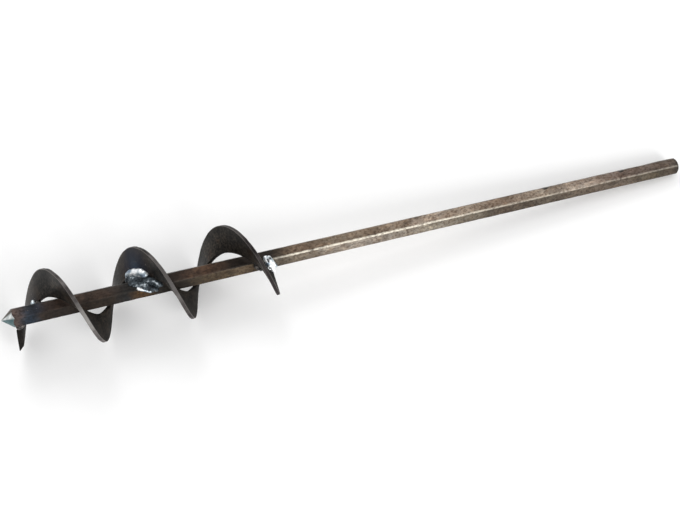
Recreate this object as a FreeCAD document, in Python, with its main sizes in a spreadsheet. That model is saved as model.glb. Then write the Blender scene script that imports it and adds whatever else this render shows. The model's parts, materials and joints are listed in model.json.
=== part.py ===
import FreeCAD, Part
import math
import os

import Sketcher
from FreeCAD import Placement, Rotation, Vector

# Soil auger: a hexagon bar with a ground point, and a right-hand ribbon flight wound on edge from
# flat bar, which stands loosely around the bar and is held to it by welds.
#
# Everything is drawn in the bar's own frame: +X runs from the point to the drive end, the point is at
# the origin, and azimuths are degrees about +X, from +Y towards +Z. Each sub-part is then laid down
# with one placement, the way the auger lies on a floor: on the flight's third turn and on the lower
# edge of the drive end. The origin ends up at the bottom centre of the whole auger. Millimetres.

doc = FreeCAD.newDocument("soil_auger")

# --- driving dimensions ---------------------------------------------------------------------------

SIZES = {
    # hexagon bar
    "bar_across_flats": 15.875,
    "bar_length": 689,
    "point_half_angle": 40,
    "point_flat_radius": 0.35,
    "drive_edge_angle": 40,
    "drive_face_radius": 7.2,
    "turning_clearance_radius": 12,
    # ribbon flight
    "flight_outer_radius": 38,
    "flight_inner_radius": 12.6,
    "flight_thickness": 3.2,
    "flight_pitch": 81.2,
    "flight_turns": 2.84,
    "flight_start": 11.1,
    "flight_start_azimuth": -110,
    "flight_offset_y": -2.2,
    "flight_offset_z": -1.1,
    "flight_yaw": 1.13,
    "flight_pitch_up": 0.5,
    "tooth_bevel_depth": 2.6,
    "tooth_bevel_length": 6,
    "tail_corner_radius": 2.5,
    # weld at the root of the tooth: azimuths in degrees, running on past 360 from turn to turn
    "root_bead_count": 8,
    "root_bead_radius": 3.6,
    "root_first_azimuth": -111,
    "root_azimuth_step": 13,
    # short finger of weld behind it; a set-back is measured from mid thickness towards the point
    "tack_bead_count": 4,
    "tack_bead_radius": 2.4,
    "tack_first_azimuth": -24,
    "tack_azimuth_step": 2.5,
    "tack_set_back": 3.8,
    "tack_first_radius": 11,
    "tack_radius_step": 2.7,
    # puddle on the second crest
    "puddle_bead_count": 4,
    "puddle_bead_radius": 3.3,
    "puddle_first_azimuth": 372,
    "puddle_azimuth_step": 13,
    "puddle_set_back": 3.1,
    "puddle_middle_radius": 15.3,
    # run of beads under the puddle
    "run_bead_count": 7,
    "run_bead_radius": 3.5,
    "run_bead_length": 5.2,
    "run_first_azimuth": 368,
    "run_azimuth_step": 15.5,
    "run_set_back": 3.8,
    "run_middle_radius": 10,
    # end weld on the drive side
    "end_bead_count": 5,
    "end_bead_radius": 3.7,
    "end_first_azimuth": 816,
    "end_azimuth_step": 21.5,
    "end_first_along": 237.5,
    "end_along_step": 1.4,
    "end_first_radius": 8.7,
    "end_radius_growth": 0.19,
    "end_last_azimuth": 887,
    "end_last_along": 239,
    "end_last_radius": 10,
    # end weld on the point side
    "back_bead_count": 3,
    "back_bead_radius": 3.3,
    "back_first_azimuth": 858,
    "back_azimuth_step": 10,
    "back_set_back": 4.3,
    "back_middle_radius": 9.9,
}

sheet = doc.addObject("Spreadsheet::Sheet", "Sheet")
for row, (alias, value) in enumerate(SIZES.items(), start=1):
    sheet.set("A%d" % row, alias)
    sheet.set("B%d" % row, str(value))
    sheet.setAlias("B%d" % row, alias)
doc.recompute()

X_AXIS = Vector(1, 0, 0)
SAME_PLACE = 0.01  # two points closer than this are the same corner
OVERRUN = 1  # a turned profile starts this far outside the bar's face
ROUGH_RUN = 10  # length of a turned profile before its dimensions are bound


def size(alias):
    """A driving dimension, read back from the sheet."""
    return float(sheet.get(alias))


# --- sketch helpers -------------------------------------------------------------------------------

def origin_plane(body, role):
    """One of the body's own origin planes."""
    return next(plane for plane in body.Origin.OriginFeatures if plane.Role == role)


def outline(body, name, role, corners):
    """A sketch of one closed loop of straight lines, on an origin plane of the body."""
    sketch = body.newObject("Sketcher::SketchObject", name)
    sketch.AttachmentSupport = [(origin_plane(body, role), "")]
    sketch.MapMode = "FlatFace"
    count = len(corners)
    for index in range(count):
        start = Vector(*corners[index], 0)
        end = Vector(*corners[(index + 1) % count], 0)
        sketch.addGeometry(Part.LineSegment(start, end), False)
    for index in range(count):
        sketch.addConstraint(Sketcher.Constraint("Coincident", index, 2, (index + 1) % count, 1))
    return sketch


def bind(sketch, constraint, expression):
    """Add a dimension to a sketch and drive it from the sheet."""
    index = sketch.addConstraint(constraint)
    sketch.setExpression("Constraints[%d]" % index, expression)


def place_corner(sketch, corner, across, up):
    """Drive a corner's distances from the sketch origin; None leaves that distance to the others."""
    if across is not None:
        bind(sketch, Sketcher.Constraint("DistanceX", -1, 1, corner, 1, 1.0), across)
    if up is not None:
        bind(sketch, Sketcher.Constraint("DistanceY", -1, 1, corner, 1, 1.0), up)


# --- hexagon bar ----------------------------------------------------------------------------------

def hexagon_sketch(body):
    """The bar's section, with a flat at the top and a flat at the bottom."""
    corner_radius = size("bar_across_flats") / math.sqrt(3)
    corners = []
    for index in range(6):
        angle = math.radians(60 * index)
        corners.append((corner_radius * math.cos(angle), corner_radius * math.sin(angle)))
    sketch = outline(body, "bar_section", "YZ_Plane", corners)
    circle = sketch.addGeometry(Part.Circle(Vector(0, 0, 0), Vector(0, 0, 1), corner_radius), True)
    sketch.addConstraint(Sketcher.Constraint("Coincident", circle, 3, -1, 1))
    for side in range(6):
        sketch.addConstraint(Sketcher.Constraint("PointOnObject", side, 1, circle))
    for side in range(1, 6):
        sketch.addConstraint(Sketcher.Constraint("Equal", 0, side))
    sketch.addConstraint(Sketcher.Constraint("PointOnObject", 0, 1, -1))
    radius = Sketcher.Constraint("Radius", circle, corner_radius)
    bind(sketch, radius, "Sheet.bar_across_flats / sqrt(3)")
    return sketch


def turned_end(body, name, face_x, inward, face_radius, half_angle):
    """Turn one end of the bar to a cone that leaves a small round flat at its face.

    face_x, face_radius and half_angle are sheet expressions; inward is +1 at the point and -1 at
    the drive end, along X into the bar.
    """
    clear = size("turning_clearance_radius")
    x = size("bar_length") if inward < 0 else 0.0
    outside = x - OVERRUN * inward
    near_axis = size("point_flat_radius")
    corners = [(x, near_axis), (outside, near_axis), (outside, clear), (x + ROUGH_RUN * inward, clear)]
    sketch = outline(body, name + "_section", "XZ_Plane", corners)
    run = "(Sheet.turning_clearance_radius - %s) / tan(%s)" % (face_radius, half_angle)
    clearance = "Sheet.turning_clearance_radius"
    place_corner(sketch, 0, face_x, face_radius)
    place_corner(sketch, 1, "%s - %d" % (face_x, OVERRUN * inward), face_radius)
    place_corner(sketch, 2, "%s - %d" % (face_x, OVERRUN * inward), clearance)
    place_corner(sketch, 3, "%s + %d * %s" % (face_x, inward, run), clearance)
    groove = body.newObject("PartDesign::Groove", name)
    groove.Profile = sketch
    groove.ReferenceAxis = (sketch, ["H_Axis"])
    groove.Angle = 360
    before = body.Shape.Volume
    doc.recompute()
    if body.Shape.Volume >= before:
        raise RuntimeError("%s cut nothing" % name)
    print("%s cut away %.1f mm3" % (name, before - body.Shape.Volume))


shaft = doc.addObject("PartDesign::Body", "hex_shaft")
bar = shaft.newObject("PartDesign::Pad", "bar")
bar.Profile = hexagon_sketch(shaft)
bar.setExpression("Length", "Sheet.bar_length")
doc.recompute()
turned_end(shaft, "ground_point", "0", 1, "Sheet.point_flat_radius", "Sheet.point_half_angle")
turned_end(shaft, "drive_edge", "Sheet.bar_length", -1, "Sheet.drive_face_radius",
           "Sheet.drive_edge_angle")


# --- ribbon flight --------------------------------------------------------------------------------

def edge_between(shape, first, second):
    """The name of the edge that joins two points of a shape."""
    for index, edge in enumerate(shape.Edges, start=1):
        ends = [vertex.Point for vertex in edge.Vertexes]
        if len(ends) != 2:
            continue
        along = (ends[0] - first).Length + (ends[1] - second).Length
        against = (ends[1] - first).Length + (ends[0] - second).Length
        if min(along, against) < SAME_PLACE:
            return "Edge%d" % index
    raise ValueError("no edge between %s and %s" % (first, second))


def axial_thickness(radius):
    """Thickness of the flight along the bar where it is flight_thickness across its own face."""
    return "Sheet.flight_thickness * sqrt(1 + (Sheet.flight_pitch / (2 * pi * %s))^2)" % radius


def ribbon_sketch(body):
    """The flight's section in a plane through its axis: a flat bar standing on edge."""
    inner = size("flight_inner_radius")
    outer = size("flight_outer_radius")
    half = size("flight_thickness") / 2
    corners = [(-half, inner), (half, inner), (half, outer), (-half, outer)]
    sketch = outline(body, "ribbon_section", "XZ_Plane", corners)
    for first, radius in ((0, "Sheet.flight_inner_radius"), (2, "Sheet.flight_outer_radius")):
        side = 1 if first == 0 else -1
        place_corner(sketch, first, "%d * %s / 2" % (-side, axial_thickness(radius)), radius)
        place_corner(sketch, first + 1, "%d * %s / 2" % (side, axial_thickness(radius)), radius)
    return sketch


flight = doc.addObject("PartDesign::Body", "flight_ribbon")
ribbon_section = ribbon_sketch(flight)
doc.recompute()
winding = flight.newObject("PartDesign::AdditiveHelix", "winding")
winding.Profile = ribbon_section
winding.ReferenceAxis = (ribbon_section, ["H_Axis"])
winding.Mode = "pitch-turns-angle"
winding.setExpression("Pitch", "Sheet.flight_pitch")
winding.setExpression("Turns", "Sheet.flight_turns")
winding.LeftHanded = False
winding.Reversed = False
doc.recompute()


def section_corner(turns, side, radius):
    """A corner of the flight's section after some turns; side is -1 towards the point."""
    rise = size("flight_pitch") / (2 * math.pi * radius)
    thickness = size("flight_thickness") * math.hypot(1, rise)
    azimuth = math.radians(90 + 360 * turns)
    x = turns * size("flight_pitch") + side * thickness / 2
    return Vector(x, radius * math.cos(azimuth), radius * math.sin(azimuth))


inner_radius = size("flight_inner_radius")
outer_radius = size("flight_outer_radius")
turns = size("flight_turns")

tail = flight.newObject("PartDesign::Fillet", "tail_corner")
tail.Base = (winding, [edge_between(winding.Shape, section_corner(turns, -1, outer_radius),
                                    section_corner(turns, 1, outer_radius))])
tail.setExpression("Radius", "Sheet.tail_corner_radius")
doc.recompute()

tooth = flight.newObject("PartDesign::Chamfer", "tooth_bevel")
tooth.Base = (tail, [edge_between(tail.Shape, section_corner(0, 1, inner_radius),
                                  section_corner(0, 1, outer_radius))])
tooth.ChamferType = "Two distances"
tooth.setExpression("Size", "Sheet.tooth_bevel_depth")
tooth.setExpression("Size2", "Sheet.tooth_bevel_length")
doc.recompute()


flight_in_bar_frame = Placement(
    Vector(size("flight_start"), size("flight_offset_y"), size("flight_offset_z")),
    Rotation(Vector(0, 0, 1), size("flight_yaw"))
    * Rotation(Vector(0, 1, 0), -size("flight_pitch_up"))
    * Rotation(X_AXIS, size("flight_start_azimuth") - 90),
)


# --- how the auger lies on a floor ----------------------------------------------------------------

def placed(shape, placement):
    """A copy of a shape, moved."""
    moved = shape.copy()
    moved.Placement = placement.multiply(moved.Placement)
    return moved


def tilted(degrees):
    """The bar tipped so that its drive end is lower than its point."""
    return Placement(Vector(0, 0, 0), Rotation(Vector(0, 1, 0), degrees))


def lowest(shape):
    return shape.optimalBoundingBox(False, False).ZMin


bar_shape = shaft.Shape.copy()
flight_shape = placed(flight.Shape, flight_in_bar_frame)

# At the rest tilt the flight and the drive end touch the floor together.
FIRST_GUESS = (1.0, 6.0)
TILT_TOLERANCE = 0.001
shallow, steep = FIRST_GUESS
while steep - shallow > TILT_TOLERANCE:
    rest_tilt = (shallow + steep) / 2
    tilt = tilted(rest_tilt)
    if lowest(placed(flight_shape, tilt)) < lowest(placed(bar_shape, tilt)):
        shallow = rest_tilt
    else:
        steep = rest_tilt

tilt = tilted(rest_tilt)
steel = Part.makeCompound([placed(bar_shape, tilt), placed(flight_shape, tilt)])
box = steel.optimalBoundingBox(False, False)
to_origin = Vector(-(box.XMin + box.XMax) / 2, -(box.YMin + box.YMax) / 2, -box.ZMin)
lie = Placement(to_origin, tilt.Rotation)
print("rest tilt %.3f degrees" % rest_tilt)
print("point at", lie.multVec(Vector(0, 0, 0)))

shaft.Placement = lie
flight.Placement = lie.multiply(flight_in_bar_frame)
doc.recompute()


# --- weld deposits --------------------------------------------------------------------------------

def flight_x(azimuth):
    """Where the middle of the flight's thickness stands along the bar, at a running azimuth."""
    wound = (azimuth - size("flight_start_azimuth")) / 360
    return size("flight_start") + size("flight_pitch") * wound


def gap_middle(azimuth):
    """Radius halfway between the bar and the flight's inner edge at a running azimuth."""
    along = flight_x(azimuth) - size("flight_start")
    offset_y = size("flight_offset_y") + along * math.tan(math.radians(size("flight_yaw")))
    offset_z = size("flight_offset_z") + along * math.tan(math.radians(size("flight_pitch_up")))
    angle = math.radians(azimuth)
    inner_edge = size("flight_inner_radius") + offset_y * math.cos(angle) + offset_z * math.sin(angle)
    return (size("bar_across_flats") / 2 + inner_edge) / 2


def outward_frame(x, azimuth, radius):
    """A place beside the bar whose Z points straight out from it and whose X runs along it."""
    angle = math.radians(azimuth)
    outwards = Vector(0, math.cos(angle), math.sin(angle))
    around = outwards.cross(X_AXIS)
    local = Placement(Vector(x, 0, 0) + outwards * radius, Rotation(X_AXIS, around, outwards, "XYZ"))
    return lie.multiply(local)


def round_bead(name, x, azimuth, radius, bead_radius):
    """One round bead of weld metal; bead_radius is a sheet alias."""
    ball = doc.addObject("Part::Sphere", name)
    ball.setExpression("Radius", "Sheet." + bead_radius)
    ball.Placement = outward_frame(x, azimuth, radius)
    return ball


def long_bead(name, x, azimuth, radius, along, around, outwards):
    """One drawn-out bead, given the sheet aliases of its three half sizes."""
    ellipsoid = doc.addObject("Part::Ellipsoid", name)
    ellipsoid.Angle1 = -90
    ellipsoid.setExpression("Radius2", "Sheet." + along)
    ellipsoid.setExpression("Radius3", "Sheet." + around)
    ellipsoid.setExpression("Radius1", "Sheet." + outwards)
    ellipsoid.Placement = outward_frame(x, azimuth, radius)
    return ellipsoid


def run_together(name, beads):
    pool = doc.addObject("Part::MultiFuse", name)
    pool.Shapes = beads
    return pool


def cut_back(name, base, tool):
    cut = doc.addObject("Part::Cut", name)
    cut.Base = base
    cut.Tool = tool
    return cut


def deposit(node, pool):
    """A weld deposit: weld metal cut back where it meets the bar and the flight."""
    return cut_back(node, cut_back(node + "_off_bar", pool, shaft), flight)


def bead_row(weld):
    """Index and running azimuth of each bead in a row, from the sheet's values for that weld."""
    for index in range(int(size(weld + "_bead_count"))):
        yield index, size(weld + "_first_azimuth") + size(weld + "_azimuth_step") * index


# The root of the tooth: beads under and behind the bar that bridge the gap to the flight.
root_beads = []
for index, azimuth in bead_row("root"):
    name = "root_bead_%d" % (index + 1)
    root_beads.append(round_bead(name, flight_x(azimuth), azimuth, gap_middle(azimuth), "root_bead_radius"))

# A short finger of beads behind the bar, run up the flight's point-side face.
tack_beads = []
for index, azimuth in bead_row("tack"):
    name = "tack_bead_%d" % (index + 1)
    x = flight_x(azimuth) - size("tack_set_back")
    radius = size("tack_first_radius") + size("tack_radius_step") * index
    tack_beads.append(round_bead(name, x, azimuth, radius, "tack_bead_radius"))

# A smooth puddle on the flight's second crest, just clear of the bar.
puddle_beads = []
for index, azimuth in bead_row("puddle"):
    name = "puddle_bead_%d" % (index + 1)
    x = flight_x(azimuth) - size("puddle_set_back")
    puddle_beads.append(round_bead(name, x, azimuth, size("puddle_middle_radius"), "puddle_bead_radius"))

# A run of beads on the bar that follows the flight's inner edge down the front.
run_beads = []
for index, azimuth in bead_row("run"):
    name = "run_bead_%d" % (index + 1)
    x = flight_x(azimuth) - size("run_set_back")
    run_beads.append(long_bead(name, x, azimuth, size("run_middle_radius"),
                               "run_bead_length", "run_bead_radius", "run_bead_radius"))
mid_run = run_together("mid_run_pool", run_beads)
mid_puddle = cut_back("puddle_off_run", run_together("puddle_pool", puddle_beads), mid_run)

# The end weld on the drive side: a run across the bar that ends on the root of the tail.
end_beads = []
for index, azimuth in bead_row("end"):
    name = "end_bead_%d" % (index + 1)
    x = size("end_first_along") + size("end_along_step") * index
    radius = size("end_first_radius") + size("end_radius_growth") * index ** 2
    end_beads.append(round_bead(name, x, azimuth, radius, "end_bead_radius"))
end_beads.append(round_bead("end_bead_last", size("end_last_along"), size("end_last_azimuth"),
                            size("end_last_radius"), "end_bead_radius"))

# The end weld on the point side: three small beads in the corner.
back_beads = []
for index, azimuth in bead_row("back"):
    name = "back_bead_%d" % (index + 1)
    x = flight_x(azimuth) - size("back_set_back")
    back_beads.append(round_bead(name, x, azimuth, size("back_middle_radius"), "back_bead_radius"))

nodes = [
    shaft,
    flight,
    deposit("lead_root_weld", run_together("root_pool", root_beads)),
    deposit("lead_tack_weld", run_together("tack_pool", tack_beads)),
    deposit("mid_weld_run", mid_run),
    deposit("mid_weld_puddle", mid_puddle),
    deposit("end_weld_outer", run_together("end_pool", end_beads)),
    deposit("end_weld_inner", run_together("back_pool", back_beads)),
]
doc.recompute()


# --- check and write ------------------------------------------------------------------------------

for item in doc.Objects:
    if "Invalid" in item.State or "Error" in item.State:
        raise RuntimeError("%s did not build: %s" % (item.Label, item.State))

for node in nodes:
    shape = node.Shape
    if shape.isNull() or not shape.isValid() or len(shape.Solids) != 1:
        raise RuntimeError("%s is not one valid solid" % node.Label)

os.makedirs("parts", exist_ok=True)
for node in nodes:
    node.Shape.exportStep("parts/%s.step" % node.Label)
    print("%-16s %9.1f mm3" % (node.Label, node.Shape.Volume))
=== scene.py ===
# %% [markdown]
# # A soil auger, finished in Blender
# The auger is a hexagon bar with a ground point and an open ribbon of flat bar wound around it, held
# by a few welds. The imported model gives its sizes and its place. Each of its plain solids is replaced
# here by a piece with the edges, marks and weld ripples of the real one, made in the same place.

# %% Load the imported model
import json
import math

import bmesh
import bpy
import numpy as np
from mathutils import Euler, Matrix, Vector, noise


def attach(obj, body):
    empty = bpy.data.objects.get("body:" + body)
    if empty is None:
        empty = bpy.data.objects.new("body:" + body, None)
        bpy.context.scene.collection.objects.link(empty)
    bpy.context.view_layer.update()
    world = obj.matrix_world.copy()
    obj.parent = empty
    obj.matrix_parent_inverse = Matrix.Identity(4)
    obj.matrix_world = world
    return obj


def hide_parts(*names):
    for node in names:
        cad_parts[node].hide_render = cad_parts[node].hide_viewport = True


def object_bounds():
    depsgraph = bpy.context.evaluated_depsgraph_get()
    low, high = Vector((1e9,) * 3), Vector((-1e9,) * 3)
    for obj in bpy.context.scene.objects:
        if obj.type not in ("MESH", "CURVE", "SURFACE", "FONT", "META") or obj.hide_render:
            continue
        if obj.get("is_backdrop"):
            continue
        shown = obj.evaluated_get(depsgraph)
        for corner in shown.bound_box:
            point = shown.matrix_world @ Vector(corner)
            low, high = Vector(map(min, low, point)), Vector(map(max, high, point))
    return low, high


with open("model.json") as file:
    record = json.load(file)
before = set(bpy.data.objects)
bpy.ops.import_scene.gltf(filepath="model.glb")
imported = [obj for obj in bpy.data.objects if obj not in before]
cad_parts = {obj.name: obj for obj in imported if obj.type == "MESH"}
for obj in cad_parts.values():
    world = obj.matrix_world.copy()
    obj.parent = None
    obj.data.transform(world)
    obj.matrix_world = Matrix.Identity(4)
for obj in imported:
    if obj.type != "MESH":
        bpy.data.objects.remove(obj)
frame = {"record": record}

cad_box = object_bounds()
print("packed model", [round(high - low, 4) for low, high in zip(*cad_box)])

# %% [markdown]
# ## The bar's own frame
# The auger lies on a floor, tipped a little, so nothing on it is square to the world. It is far
# easier to model it along one axis: X from the point to the drive end, Z up out of the top flat. The
# record's drive-end mount says where that axis ends and which way it points, and one matrix then
# carries each finished piece to its place.

# %% Bar frame
MM = 0.001
BAR_LENGTH = 689 * MM
ACROSS_FLATS = 15.875 * MM
CORNER_RADIUS = ACROSS_FLATS / math.sqrt(3)

drive_end = next(m for m in frame["record"]["mounts"] if m["name"] == "drive_end_face")
along = Vector(drive_end["axis"]).normalized()
level = Vector((0, 1, 0))
upward = along.cross(level)
point = Vector(drive_end["pos_m"]) - along * BAR_LENGTH
BAR_FRAME = Matrix((along, level, upward)).transposed().to_4x4()
BAR_FRAME.translation = point
print("point at", [round(value, 4) for value in point])

# %% [markdown]
# ## Helpers for working as by hand
# An operator acts on whatever is selected, so every step starts by selecting one object, and in edit
# mode only the vertices, edges or faces that pass a test of place or direction.

# %% Selecting
def only(piece):
    """Select one object and make it the active one."""
    bpy.ops.object.select_all(action="DESELECT")
    piece.select_set(True)
    bpy.context.view_layer.objects.active = piece


def done():
    """Leave edit mode."""
    if bpy.context.mode == "EDIT_MESH":
        bpy.ops.object.mode_set(mode="OBJECT")


def edit(piece, kind, wanted):
    """Enter edit mode with only the vertices, edges or faces that pass a test selected."""
    done()
    only(piece)
    bpy.ops.object.mode_set(mode="EDIT")
    bpy.ops.mesh.select_mode(type=kind)
    bpy.ops.mesh.select_all(action="DESELECT")
    mesh = bmesh.from_edit_mesh(piece.data)
    items = {"VERT": mesh.verts, "EDGE": mesh.edges, "FACE": mesh.faces}[kind]
    for item in items:
        item.select_set(wanted(item))
    mesh.select_flush_mode()
    bmesh.update_edit_mesh(piece.data)


def new_piece(name):
    """Name the primitive just added and put its place and size into its mesh."""
    piece = bpy.context.object
    piece.name = name
    bpy.ops.object.transform_apply(location=True, rotation=True, scale=True)
    return piece


def edge_vector(edge):
    """The way from one end of an edge to the other."""
    return edge.verts[1].co - edge.verts[0].co


def runs_along(edge):
    """True for an edge parallel to X."""
    run = edge_vector(edge)
    return abs(run.x) > 0.99 * run.length


def apply_modifier(piece, kind, **settings):
    """Add one modifier, set it up and apply it."""
    only(piece)
    bpy.ops.object.modifier_add(type=kind)
    modifier = piece.modifiers[-1]
    for name, value in settings.items():
        setattr(modifier, name, value)
    bpy.ops.object.modifier_apply(modifier=modifier.name)


# %% Reading and moving vertices
def points_of(piece):
    """All vertex places of a piece, as rows of an array."""
    flat = np.empty(len(piece.data.vertices) * 3)
    piece.data.vertices.foreach_get("co", flat)
    return flat.reshape(-1, 3)


def set_points(piece, points):
    """Move every vertex of a piece to the places in the rows of an array."""
    piece.data.vertices.foreach_set("co", points.ravel())
    piece.data.update()


def finish_piece(piece, node, material):
    """Carry a piece from the bar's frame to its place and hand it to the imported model."""
    only(piece)
    piece.matrix_world = BAR_FRAME
    bpy.ops.object.transform_apply(location=True, rotation=True, scale=True)
    piece.data.materials.append(material)
    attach(piece, "root")
    if node:
        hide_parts(node)
    triangles = sum(len(face.vertices) - 2 for face in piece.data.polygons)
    print(piece.name, "-", triangles, "triangles")

# %% [markdown]
# ## Camera
# The camera looks down on the floor from above the point end, far enough away that the bar narrows
# only a little towards its drive end. Its place and turn are given in the bar's frame, so it would
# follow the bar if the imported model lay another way.

# %% Camera
CAMERA_PLACE = Vector((-46.2, -482.2, 971.3)) * MM
CAMERA_TURN_DEGREES = (29.728, -10.111, -20.064)
CAMERA_LENS = 64.39

bpy.ops.object.camera_add()
camera = bpy.context.object
camera.name = "camera"
camera_turn = Euler([math.radians(a) for a in CAMERA_TURN_DEGREES])
camera.matrix_world = BAR_FRAME @ Matrix.LocRotScale(CAMERA_PLACE, camera_turn, None)
camera.data.lens = CAMERA_LENS
camera.data.sensor_width = 36.0
camera.data.clip_start = 0.01
bpy.context.scene.camera = camera
print("camera at", [round(value, 3) for value in camera.matrix_world.translation])

# %% [markdown]
# ## Floor and light
# A plain pale floor and a pale world surround the auger, as on a light table. One broad softbox hangs
# in front and to the right, so that light falls along the bar's front flat, and a second, weaker one
# behind draws a line of light along the outer edge of the ribbon.

# %% Floor
bpy.ops.object.select_all(action="DESELECT")
bpy.ops.mesh.primitive_plane_add(size=12)
floor = new_piece("floor")
floor_finish = bpy.data.materials.new("pale_floor")
floor_finish.use_nodes = True
floor_shader = floor_finish.node_tree.nodes["Principled BSDF"]
floor_shader.inputs["Base Color"].default_value = (0.93, 0.93, 0.93, 1)
floor_shader.inputs["Roughness"].default_value = 0.9
floor.data.materials.append(floor_finish)
floor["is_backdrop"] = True
print("floor", tuple(round(side, 1) for side in floor.dimensions))


# %% Light
def softbox(name, place, aim, width, power):
    """A square area light that faces a point."""
    bpy.ops.object.light_add(type="AREA", location=place)
    light = bpy.context.object
    light.name = name
    light.rotation_euler = (Vector(aim) - Vector(place)).to_track_quat("-Z", "Y").to_euler()
    light.data.size = width
    light.data.energy = power
    return light


FLIGHT_MIDDLE = tuple(point + along * 0.13)
BAR_MIDDLE = tuple(point + along * 0.40)
softbox("front_softbox", place=(0.5, -1.5, 0.9), aim=BAR_MIDDLE, width=0.9, power=16)
softbox("rear_softbox", place=(-0.3, 1.4, 1.3), aim=FLIGHT_MIDDLE, width=0.8, power=8)
world = bpy.data.worlds.new("pale_room")
world.use_nodes = True
world.node_tree.nodes["Background"].inputs["Color"].default_value = (1.0, 1.0, 1.0, 1)
world.node_tree.nodes["Background"].inputs["Strength"].default_value = 0.85
bpy.context.scene.world = world
bpy.context.scene.view_settings.view_transform = "Standard"

# %% [markdown]
# ## The hexagon bar
# The real bar is drawn hexagon stock, whose corners are never quite sharp. A six-sided cylinder is
# the start: bevelling its long edges gives the drawn corners, and two rings and a subdivision give it
# enough cross lines for dents.

# %% Hexagon stock
CORNER_ROUND = 0.5 * MM
END_ZONE = 15 * MM
RING_SPACING = 1.25 * MM

bpy.ops.object.select_all(action="DESELECT")
bpy.ops.mesh.primitive_cylinder_add(
    vertices=6,
    radius=CORNER_RADIUS,
    depth=BAR_LENGTH,
    location=(BAR_LENGTH / 2, 0, 0),
    rotation=(0, math.pi / 2, 0),
)
bar = new_piece("bar")
edit(bar, "EDGE", runs_along)
bpy.ops.mesh.bevel(offset=CORNER_ROUND, segments=3, affect="EDGES")
edit(
    bar,
    "EDGE",
    lambda edge: abs(edge_vector(edge).x) < MM and edge_vector(edge).length > 2 * CORNER_ROUND,
)
bpy.ops.mesh.subdivide(number_cuts=3)
done()
print("cross section has", sum(v.co.x < MM for v in bar.data.vertices), "corners")


# %% Rings for dents
def cut_across(piece, place, normal, **options):
    """Bisect the whole mesh of a piece by a plane."""
    edit(piece, "FACE", lambda face: True)
    bpy.ops.mesh.bisect(plane_co=place, plane_no=Vector(normal).normalized(), threshold=1e-6, **options)
    done()


def divide_lengthwise(piece, shortest, spacing):
    """Cut the edges along X that are longer than a length, in two passes, to about a spacing."""
    edit(piece, "EDGE", lambda edge: abs(edge_vector(edge).x) > shortest)
    cuts = round(math.sqrt(piece.dimensions.x / spacing))
    bpy.ops.mesh.subdivide(number_cuts=cuts)
    still_long = shortest / (cuts + 2)
    edit(piece, "EDGE", lambda edge: runs_along(edge) and edge_vector(edge).length > still_long)
    bpy.ops.mesh.subdivide(number_cuts=cuts)
    done()


for ring in (END_ZONE, BAR_LENGTH - END_ZONE):
    cut_across(bar, (ring, 0, 0), (1, 0, 0))
divide_lengthwise(bar, 0.5 * BAR_LENGTH, RING_SPACING)
print("bar has", len(bar.data.polygons), "faces")

# %% [markdown]
# ## Ground point and chamfered drive end
# A grinder leaves a cone of many narrow facets, not a perfect one. A spindle is modelled that has the
# right cone at each end and is wider than the bar between them, and the bar keeps only what the two
# have in common. The curved edges where the cone meets the flats then come by themselves.

# %% Spindle cutter
POINT_SLOPE = math.tan(math.radians(40))
POINT_FLAT = 0.35 * MM
DRIVE_FACE_RADIUS = 7.2 * MM
DRIVE_SLOPE = math.tan(math.radians(40))
CUTTER_RADIUS = 12 * MM
CUTTER_FACETS = 22

point_run = (CUTTER_RADIUS - POINT_FLAT) / POINT_SLOPE
drive_run = (CUTTER_RADIUS - DRIVE_FACE_RADIUS) / DRIVE_SLOPE
bpy.ops.object.select_all(action="DESELECT")
bpy.ops.mesh.primitive_cylinder_add(
    vertices=CUTTER_FACETS,
    radius=CUTTER_RADIUS,
    depth=BAR_LENGTH - point_run - drive_run,
    location=((BAR_LENGTH + point_run - drive_run) / 2, 0, 0),
    rotation=(0, math.pi / 2, 0),
)
cutter = new_piece("spindle_cutter")
for side, run, tip_radius in ((-1, point_run, POINT_FLAT), (1, drive_run, DRIVE_FACE_RADIUS)):
    edit(cutter, "FACE", lambda face: face.normal.x * side > 0.9)
    bpy.ops.mesh.extrude_region_move(TRANSFORM_OT_translate={"value": (side * run, 0, 0)})
    shrink = tip_radius / CUTTER_RADIUS
    bpy.ops.transform.resize(value=(1, shrink, shrink))
    done()
apply_modifier(bar, "BOOLEAN", operation="INTERSECT", solver="EXACT", object=cutter)
bpy.data.objects.remove(cutter)
print("bar runs from", round(points_of(bar)[:, 0].min(), 5), "to", round(points_of(bar)[:, 0].max(), 5))

# %% [markdown]
# ## Wear on the bar
# Handling and turning leave shallow dents along the corners, two deep nicks near the drive end, and a
# drive end that is a little swollen where it has been struck. Operators can't place hundreds of small
# dents, so the vertices are moved in code: each dent presses a soft bell shape towards the axis. The
# depth is also kept as an attribute, so that the finish can darken the dents.

# %% Dents
DENT_COUNT = 170
DENT_WIDTH = 1.2 * MM
NICKS = ((535 * MM, 0.8 * MM), (623 * MM, 0.9 * MM))
REAR_TOP_CORNER = math.radians(60)
REAR_CORNER = math.radians(-2)
rng = np.random.default_rng(7)


def polar(points):
    """Distance from the bar's axis and angle about it, from +Y towards +Z, for rows of places."""
    return np.hypot(points[:, 1], points[:, 2]), np.arctan2(points[:, 2], points[:, 1])


def press_dent(points, depths, place, angle, length, width, depth):
    """Press one bell-shaped dent into rows of places."""
    radius, azimuth = polar(points)
    turned = (azimuth - angle + math.pi) % (2 * math.pi) - math.pi
    away_along = (points[:, 0] - place) / length
    away_round = turned * CORNER_RADIUS / width
    bell = depth * np.exp(-(away_along**2) - away_round**2)
    points[:, 1:] *= (1 - bell / np.maximum(radius, MM))[:, None]
    depths += bell


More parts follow.
